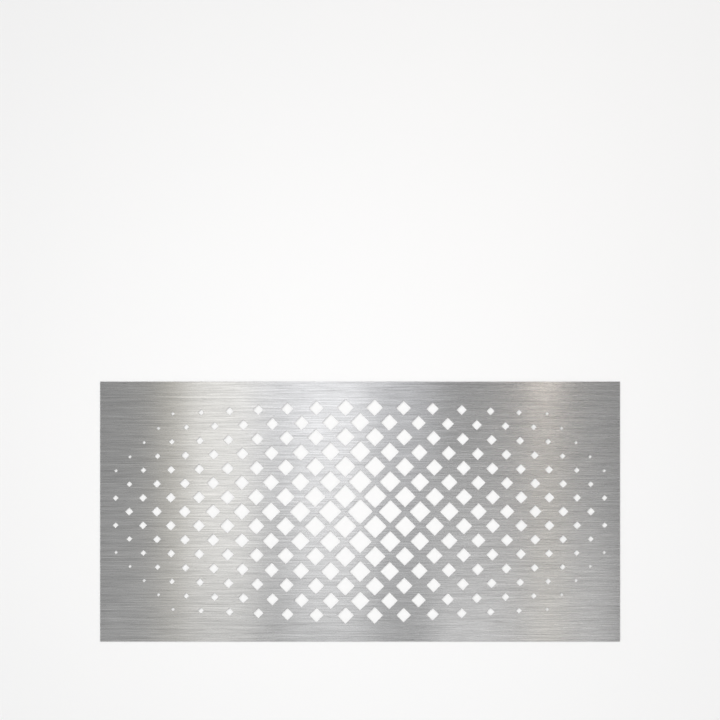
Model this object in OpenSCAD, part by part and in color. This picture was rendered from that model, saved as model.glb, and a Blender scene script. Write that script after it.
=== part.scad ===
// Decorative metal sheet.
// One flat piece of brushed stainless steel with square holes cut on their points.
// The holes stand in rings round the middle one. Each ring out, the holes get
// smaller and the webs between them get wider, so the pattern fades to plain metal.
// X runs along the sheet, Y across it, and the sheet lies on its back at Z = 0.

/* [Sheet] */
// Length of the sheet, along X
sheet_length = 1000; // [400:10:2000]
// Width of the sheet, along Y
sheet_width = 500; // [200:10:1000]
// Thickness of the metal
sheet_thickness = 2; // [0.8:0.1:6]

/* [Holes] */
// Side of the square hole in the middle
centre_hole = 35; // [20:0.5:60]
// How much shorter the side gets from one ring to the next
hole_step = 3; // [1:0.25:6]
// Shortest side that is still cut
smallest_hole = 5; // [3:0.5:15]

/* [Webs] */
// Web between the middle hole and the first ring
centre_web = 7.5; // [3:0.5:30]
// How much wider the web gets from one ring to the next
web_step = 2.5; // [0:0.25:6]

/* [Plain border] */
// Least plain metal between a hole's point and a short edge
end_border = 22; // [5:1:100]
// Least plain metal between a hole's point and a long edge
side_border = 32; // [5:1:100]

/* [Hidden] */

// Holes stand on their points, so their rows run at this angle to the sheet's edges
row_angle = 45;
// The cutters run past both faces of the sheet by this much
cut_past = 1;
// Number of rings round the middle hole
rings = floor((centre_hole - smallest_hole) / hole_step);

// Side of the holes in a ring, and the web between that ring and the next one out
function hole_side(ring) = centre_hole - hole_step * ring;
function web_width(ring) = centre_web + web_step * ring;

// Distance from one row of hole centres to the next one out
function row_pitch(ring) = (hole_side(ring) + hole_side(ring + 1)) / 2 + web_width(ring);

// Distance of a row of hole centres from the middle, measured across the row
function row_place(row) =
    row == 0 ? 0
    : row < 0 ? -row_place(-row)
    : row_place(row - 1) + row_pitch(row - 1);

// Centre of the hole where two rows cross, in the sheet's own X and Y
function hole_centre(row, column) =
    let (u = row_place(row), v = row_place(column))
    [(u + v) * cos(row_angle), (u - v) * sin(row_angle)];

// A hole belongs to the outer one of the two rings that its rows lie on
function hole_ring(row, column) = max(abs(row), abs(column));

// Distance from a hole's centre to its points
function point_reach(ring) = hole_side(ring) / 2 / cos(row_angle);

// True where all four points stay clear of the plain border
function inside_border(centre, reach) =
    abs(centre.x) + reach <= sheet_length / 2 - end_border
    && abs(centre.y) + reach <= sheet_width / 2 - side_border;

module blank_sheet() {
    translate([-sheet_length / 2, -sheet_width / 2, 0])
        cube([sheet_length, sheet_width, sheet_thickness]);
}

module hole_cutter(side) {
    translate([0, 0, sheet_thickness / 2])
        rotate(row_angle)
            cube([side, side, sheet_thickness + 2 * cut_past], center = true);
}

module hole_pattern() {
    for (row = [-rings : rings], column = [-rings : rings]) {
        centre = hole_centre(row, column);
        ring = hole_ring(row, column);
        if (inside_border(centre, point_reach(ring)))
            translate(centre)
                hole_cutter(hole_side(ring));
    }
}

module perforated_sheet() {
    color("silver")
        difference() {
            blank_sheet();
            hole_pattern();
        }
}

perforated_sheet();
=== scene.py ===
import math

import bmesh
import bpy
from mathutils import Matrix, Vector


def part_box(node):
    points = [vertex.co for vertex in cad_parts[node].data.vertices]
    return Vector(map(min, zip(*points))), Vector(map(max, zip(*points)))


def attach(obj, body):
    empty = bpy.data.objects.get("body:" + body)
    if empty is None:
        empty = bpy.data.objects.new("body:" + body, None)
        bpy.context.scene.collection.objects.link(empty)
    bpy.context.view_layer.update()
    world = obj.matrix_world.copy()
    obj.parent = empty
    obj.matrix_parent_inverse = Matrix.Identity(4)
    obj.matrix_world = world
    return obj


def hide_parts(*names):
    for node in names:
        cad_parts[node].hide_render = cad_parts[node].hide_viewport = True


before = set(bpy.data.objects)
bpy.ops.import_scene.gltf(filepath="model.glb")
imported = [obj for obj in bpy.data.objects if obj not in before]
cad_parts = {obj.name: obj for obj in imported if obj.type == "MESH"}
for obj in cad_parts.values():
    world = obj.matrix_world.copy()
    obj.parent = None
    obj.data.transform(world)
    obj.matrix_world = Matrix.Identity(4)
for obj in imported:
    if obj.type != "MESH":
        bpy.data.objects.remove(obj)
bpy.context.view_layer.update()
print("frame loaded:", sorted(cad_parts))


# Shader maths

class Wire:
    def __init__(self, tree, socket=None):
        self.tree = tree
        self.socket = socket

    def node(self, kind, settings=None, inputs=None, output=0):
        made = self.tree.nodes.new(kind)
        for name, value in (settings or {}).items():
            setattr(made, name, value)
        for name, value in (inputs or {}).items():
            if isinstance(value, Wire):
                self.tree.links.new(value.socket, made.inputs[name])
            else:
                made.inputs[name].default_value = value
        socket = made.outputs[output] if made.outputs else None  # the last node of a tree has none
        return Wire(self.tree, socket)

    def maths(self, operation, other=0.0, swapped=False):
        first, second = (other, self) if swapped else (self, other)
        return self.node("ShaderNodeMath", {"operation": operation}, {0: first, 1: second})

    def __add__(self, other):
        return self.maths("ADD", other)

    def __radd__(self, other):
        return self.maths("ADD", other, swapped=True)

    def __sub__(self, other):
        return self.maths("SUBTRACT", other)

    def __rsub__(self, other):
        return self.maths("SUBTRACT", other, swapped=True)

    def __mul__(self, other):
        return self.maths("MULTIPLY", other)

    def __rmul__(self, other):
        return self.maths("MULTIPLY", other, swapped=True)


# What the finishes share

noise = {
    "middle": 0.5,  # a noise swings about this value
    "fade": 0.55,  # how much of each finer layer is kept
}


def newMaterial(name):
    material = bpy.data.materials.new(name)
    material.use_nodes = True
    material.node_tree.nodes.clear()
    return material, Wire(material.node_tree)


def stretchedNoise(wire, size, detail, seed):  # swings about 0
    place = wire.node("ShaderNodeTexCoord", output="Object")
    place = wire.node("ShaderNodeMapping", {}, {
        "Vector": place,
        "Location": (seed, seed, seed),
        "Scale": tuple(1 / length for length in size),
    })
    swing = wire.node("ShaderNodeTexNoise", {}, {
        "Vector": place,
        "Scale": 1.0,  # the mapping sets the size
        "Detail": detail,
        "Roughness": noise["fade"],
    })
    return swing - noise["middle"]


def bumped(wire, height, strength, depth):
    return wire.node("ShaderNodeBump", {}, {"Strength": strength, "Distance": depth, "Height": height})


def tonedSteel(wire, steel, tone):
    return wire.node("ShaderNodeVectorMath", {"operation": "SCALE"}, {0: steel, "Scale": tone})


def finishSteel(wire, inputs):
    shader = wire.node("ShaderNodeBsdfPrincipled", {}, {"Metallic": 1.0, **inputs})
    wire.node("ShaderNodeOutputMaterial", {}, {"Surface": shader})


# Brushed front

brushed = {
    "steel": (0.60, 0.60, 0.60),
    "roughness": 0.27,
    "spread": 0.95,  # how much wider the gloss is across the grain than along it
    "across": 0.25,  # a quarter turn, so that the gloss spreads across the grain
    "marks": [  # brush marks in metres, and how far they change the tone
        {"length": 0.030, "width": 0.0004, "seed": 0.5, "change": 0.50},
        {"length": 0.070, "width": 0.0006, "seed": 1.5, "change": 0.76},
        {"length": 0.150, "width": 0.0009, "seed": 2.5, "change": 0.46},
    ],
    "markDetail": 1.0,
    "rowShift": 17.3,  # keeps each row of marks unlike the next
    "scratches": {"length": 0.012, "width": 0.0012, "seed": 9.5},  # short deeper marks
    "scratchFrom": 0.16,  # only swings above this are scratches
    "scratchTone": 1.2,
    "grain": {"size": (0.045, 0.0011, 0.01), "detail": 2.0, "seed": 3.1},
    "grainRoughness": 0.10,
    "grainStrength": 0.4,
    "grainDepth": 0.00002,
}


def brushMarks(wire, length, width, seed):  # rows of marks along x, which swing about 0
    place = wire.node("ShaderNodeTexCoord", output="Object")
    along = wire.node("ShaderNodeSeparateXYZ", {}, {"Vector": place}, output="X")
    across = wire.node("ShaderNodeSeparateXYZ", {}, {"Vector": place}, output="Y")
    row = (across * (1 / width)).maths("FLOOR")
    line = wire.node("ShaderNodeCombineXYZ", {}, {
        "X": along * (1 / length),
        "Y": row * brushed["rowShift"],
        "Z": seed,
    })
    swing = wire.node("ShaderNodeTexNoise", {}, {
        "Vector": line,
        "Scale": 1.0,  # the line has its size already
        "Detail": brushed["markDetail"],
    })
    return swing - noise["middle"]


def brushedFront(mapName):
    material, wire = newMaterial("brushed_front")
    tone = 1
    for mark in brushed["marks"]:
        swing = brushMarks(wire, mark["length"], mark["width"], mark["seed"])
        tone = tone + swing * mark["change"]
    scratches = brushMarks(wire, **brushed["scratches"]).maths("MAXIMUM", brushed["scratchFrom"])
    tone = tone - (scratches - brushed["scratchFrom"]) * brushed["scratchTone"]
    grain = stretchedNoise(wire, **brushed["grain"])
    tangent = wire.node("ShaderNodeTangent", {"direction_type": "UV_MAP", "uv_map": mapName})
    finishSteel(wire, {
        "Base Color": tonedSteel(wire, brushed["steel"], tone),
        "Roughness": brushed["roughness"] - grain * brushed["grainRoughness"],
        "Anisotropic": brushed["spread"],
        "Anisotropic Rotation": brushed["across"],
        "Normal": bumped(wire, grain, brushed["grainStrength"], brushed["grainDepth"]),
        "Tangent": tangent,
    })
    return material


# Mill-finished back

mill = {
    "steel": (0.52, 0.52, 0.52),
    "roughness": 0.38,
    "clouds": {"size": (0.08, 0.03, 0.01), "detail": 3.0, "seed": 1.3},
    "cloudTone": 0.08,
    "cloudRoughness": 0.10,
}


def millBack():
    material, wire = newMaterial("mill_back")
    clouds = stretchedNoise(wire, **mill["clouds"])
    finishSteel(wire, {
        "Base Color": tonedSteel(wire, mill["steel"], 1 + clouds * mill["cloudTone"]),
        "Roughness": mill["roughness"] + clouds * mill["cloudRoughness"],
    })
    return material


# Laser-cut edges

cut = {
    "steel": (0.62, 0.62, 0.62),
    "roughness": 0.5,
    "ridges": {"size": (0.0003, 0.0003, 0.006), "detail": 1.0, "seed": 5.3},  # run through the thickness
    "ridgeTone": 0.5,
    "ridgeStrength": 0.5,
    "ridgeDepth": 0.00004,
}


def cutEdge():
    material, wire = newMaterial("cut_edge")
    ridges = stretchedNoise(wire, **cut["ridges"])
    finishSteel(wire, {
        "Base Color": tonedSteel(wire, cut["steel"], 1 + ridges * cut["ridgeTone"]),
        "Roughness": cut["roughness"],
        "Normal": bumped(wire, ridges, cut["ridgeStrength"], cut["ridgeDepth"]),
    })
    return material


# The sheet

sheet = {
    "node": "perforated_sheet",
    "piece": "brushed_sheet",
    "slot": "brushed_metal",
    "map": "OFBake",  # the name of the map laid out below, which the front's grain follows
    "mapGap": 2,  # between the parts of the map, in thicknesses of the sheet
    "merge": 1e-6,  # corners that lie closer than this are one
    "edgeBreak": 0.00025,  # deburred edges, front and back
    "edgeSegments": 2,
    "edgeAngle": math.radians(30),  # flat faces meet at less than this
    "facing": 0.98,  # a face with a normal steeper than this belongs to the front or the back
    "upright": 0.1,  # and one with a normal flatter than this to a wall
}


def layFlat(bm):  # the map: the front, the back turned over above it, and the walls folded out
    low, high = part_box(sheet["node"])
    span = high - low
    gap = sheet["mapGap"] * span.z
    scale = 1 / max(span.x + 2 * gap, 2 * span.y + 3 * gap)
    layer = bm.loops.layers.uv.new(sheet["map"])
    for face in bm.faces:
        for loop in face.loops:
            vert = loop.vert
            place = vert.co.xy - low.xy
            if face.normal.z < -sheet["upright"]:
                place = Vector((span.x - place.x, place.y + span.y + gap))
            elif face.normal.z < sheet["upright"]:  # a corner moves along its diagonal
                depth = high.z - sheet["edgeBreak"] - vert.co.z
                place += vert.normal.xy.normalized() * depth * math.sqrt(2)
            loop[layer].uv = (place + Vector((gap, gap))) * scale


def isRim(edge):  # between a wall and the front or the back
    rise = edge.verts[0].co.z - edge.verts[1].co.z
    return abs(rise) < sheet["merge"] and edge.calc_face_angle() > sheet["edgeAngle"]


def finishOf(face):  # its place in the list of materials
    if face.normal.z > sheet["facing"]:
        return 0
    if face.normal.z < -sheet["facing"]:
        return 1
    return 2


def makeSheet():
    bm = bmesh.new()
    bm.from_mesh(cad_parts[sheet["node"]].data)
    bmesh.ops.remove_doubles(bm, verts=bm.verts, dist=sheet["merge"])
    rims = [edge for edge in bm.edges if isRim(edge)]
    bmesh.ops.bevel(
        bm, geom=rims, offset=sheet["edgeBreak"], offset_type="OFFSET", affect="EDGES",
        segments=sheet["edgeSegments"], profile=0.5, material=-1,
        loop_slide=False, clamp_overlap=False)
    bm.normal_update()
    layFlat(bm)
    for face in bm.faces:
        face.material_index = finishOf(face)
    mesh = bpy.data.meshes.new(sheet["piece"])
    bm.to_mesh(mesh)
    bm.free()
    for material in (brushedFront(sheet["map"]), millBack(), cutEdge()):
        mesh.materials.append(material)
    piece = bpy.data.objects.new(sheet["piece"], mesh)
    bpy.context.scene.collection.objects.link(piece)
    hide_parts(sheet["node"])
    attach(piece, "root")
    print("sheet made:", len(mesh.polygons), "faces")


makeSheet()


# Floor

floor = {
    "size": 60.0,
    "colour": (0.92, 0.92, 0.92, 1.0),
}


def makeFloor():
    bm = bmesh.new()
    bmesh.ops.create_grid(bm, x_segments=1, y_segments=1, size=floor["size"] / 2)
    mesh = bpy.data.meshes.new("floor")
    bm.to_mesh(mesh)
    bm.free()
    material, wire = newMaterial("pale_floor")
    shader = wire.node("ShaderNodeBsdfDiffuse", {}, {"Color": floor["colour"]})
    wire.node("ShaderNodeOutputMaterial", {}, {"Surface": shader})
    mesh.materials.append(material)
    ground = bpy.data.objects.new("floor", mesh)
    bpy.context.scene.collection.objects.link(ground)
    print("floor laid:", floor["size"], "m wide")


makeFloor()


# Studio light

studio = {
    "ceiling": (0.37, 0.37, 0.37, 1.0),
    "walls": (0.62, 0.62, 0.62, 1.0),
    "wallTop": 0.35,  # sine of the height angle where the walls end
    "ceilingFrom": 0.8,  # and of the one where the ceiling begins
}

# Soft boxes over the sheet, which its front mirrors as pale bands
lamps = {
    "leftBox": {
        "at": (-0.305, 0.25, 1.00), "size": (0.15, 1.05),
        "radiance": 1.10, "tint": (1.0, 0.98, 0.93)},
    "warmBox": {
        "at": (-0.40, 0.22, 1.00), "size": (0.07, 1.10),
        "radiance": 0.33, "tint": (1.0, 0.87, 0.57)},
    "upperStrip": {
        "at": (-0.19, 0.48, 1.00), "size": (0.06, 0.60),
        "radiance": 0.60, "tint": (1.0, 1.0, 1.0)},
    "upperBox": {
        "at": (-0.04, 0.31, 1.02), "size": (0.40, 0.50),
        "radiance": 0.82, "tint": (0.93, 0.94, 1.0)},
    "middleStrip": {
        "at": (-0.065, 0.10, 1.04), "size": (0.17, 0.88),
        "radiance": 0.74, "tint": (1.0, 1.0, 1.0)},
    "lowerBox": {
        "at": (0.36, -0.30, 1.02), "size": (0.40, 0.22),
        "radiance": 1.35, "tint": (1.0, 0.99, 0.99)},
    "rightStrip": {
        "at": (0.40, 0.82, 1.00), "size": (0.04, 0.88),
        "radiance": 4.90, "tint": (1.0, 0.87, 0.77)},
    "lowerStrip": {
        "at": (0.41, -0.32, 1.00), "size": (0.06, 0.78),
        "radiance": 0.20, "tint": (1.0, 0.80, 0.35)},
    "frontFill": {
        "at": (-0.14, -0.31, 1.06), "size": (0.90, 0.56),
        "radiance": 0.22, "tint": (1.0, 1.0, 1.0)},
}

# Soft boxes standing in a ring, for the bands that the front shows from a low angle
ring = {
    "boxes": 10,
    "reach": 2.2,
    "middle": 0.9,
    "size": (0.24, 1.6),
    "radiance": 1.0,
    "tint": (1.0, 1.0, 1.0),
}

# One broad lamp for the shadows
key = {
    "from": (-0.42, 0.37, 0.90),
    "width": math.radians(20),
    "light": 0.43,
}


def placeLamp(name, data, place, target):
    lamp = bpy.data.objects.new(name, data)
    lamp.location = place
    lamp.rotation_euler = (target - place).to_track_quat("-Z", "Y").to_euler()
    lamp.visible_camera = False
    bpy.context.scene.collection.objects.link(lamp)
    return lamp


def softBox(name, size, radiance, tint):
    data = bpy.data.lights.new(name, "AREA")
    data.shape = "RECTANGLE"
    data.size, data.size_y = size
    data.energy = radiance * math.pi * data.size * data.size_y
    data.color = tint
    return data


def makeBoxes():
    for name, box in lamps.items():
        data = softBox(name, box["size"], box["radiance"], box["tint"])
        place = Vector(box["at"])
        placeLamp(name, data, place, Vector((place.x, place.y, 0)))
    print("soft boxes hung:", len(lamps))


def makeRing():
    for index in range(ring["boxes"]):
        turn = math.tau * index / ring["boxes"]
        place = Vector((ring["reach"] * math.cos(turn), ring["reach"] * math.sin(turn), ring["middle"]))
        data = softBox(f"ringBox{index}", ring["size"], ring["radiance"], ring["tint"])
        lamp = placeLamp(data.name, data, place, Vector((0, 0, ring["middle"])))
        lamp.visible_diffuse = False  # only the metal shows it, so the floor stays even
    print("ring boxes stood:", ring["boxes"])


def makeKey():
    data = bpy.data.lights.new("keyLamp", "SUN")
    data.angle = key["width"]
    place = Vector(key["from"])
    data.energy = key["light"] * math.pi * place.length / place.z
    lamp = placeLamp("keyLamp", data, place, Vector())
    lamp.visible_glossy = False  # the metal mirrors the soft boxes instead
    print("key lamp set")


def makeWalls():
    world = bpy.data.worlds.new("studio")
    bpy.context.scene.world = world
    world.use_nodes = True
    world.node_tree.nodes.clear()
    wire = Wire(world.node_tree)
    way = wire.node("ShaderNodeTexCoord", output="Generated")
    height = wire.node("ShaderNodeSeparateXYZ", {}, {"Vector": way}, output="Z")
    rise = wire.node("ShaderNodeMapRange", {}, {
        "Value": height,
        "From Min": studio["wallTop"],
        "From Max": studio["ceilingFrom"],
    })
    glow = wire.node("ShaderNodeMix", {"data_type": "RGBA"}, {
        "Factor": rise,
        "A": studio["walls"],
        "B": studio["ceiling"],
    }, output="Result")
    sky = wire.node("ShaderNodeBackground", {}, {"Color": glow})
    wire.node("ShaderNodeOutputWorld", {}, {"Surface": sky})
    print("studio walls set")


makeBoxes()
makeRing()
makeKey()
makeWalls()


# Camera, straight above, with the sheet where the photograph has it

photo = {
    "side": 720,  # pixels, as the next two are
    "sheetLength": 519.8,
    "sheetBelowMiddle": 151.5,
    "lens": 200,  # millimetres, as the next is
    "sensor": 36,
}


def makeCamera():
    low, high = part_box(sheet["node"])
    metresPerPixel = (high.x - low.x) / photo["sheetLength"]
    frameWidth = photo["side"] * metresPerPixel
    middle = (low + high) / 2
    data = bpy.data.cameras.new("camera")
    data.lens = photo["lens"]
    data.sensor_width = photo["sensor"]
    camera = bpy.data.objects.new("camera", data)
    camera.location = (
        middle.x,
        middle.y + photo["sheetBelowMiddle"] * metresPerPixel,
        high.z + frameWidth * photo["lens"] / photo["sensor"])
    bpy.context.scene.collection.objects.link(camera)
    bpy.context.scene.camera = camera
    print("camera", round(camera.location.z, 2), "m above the floor")


makeCamera()
bpy.context.scene.view_settings.view_transform = "Standard"
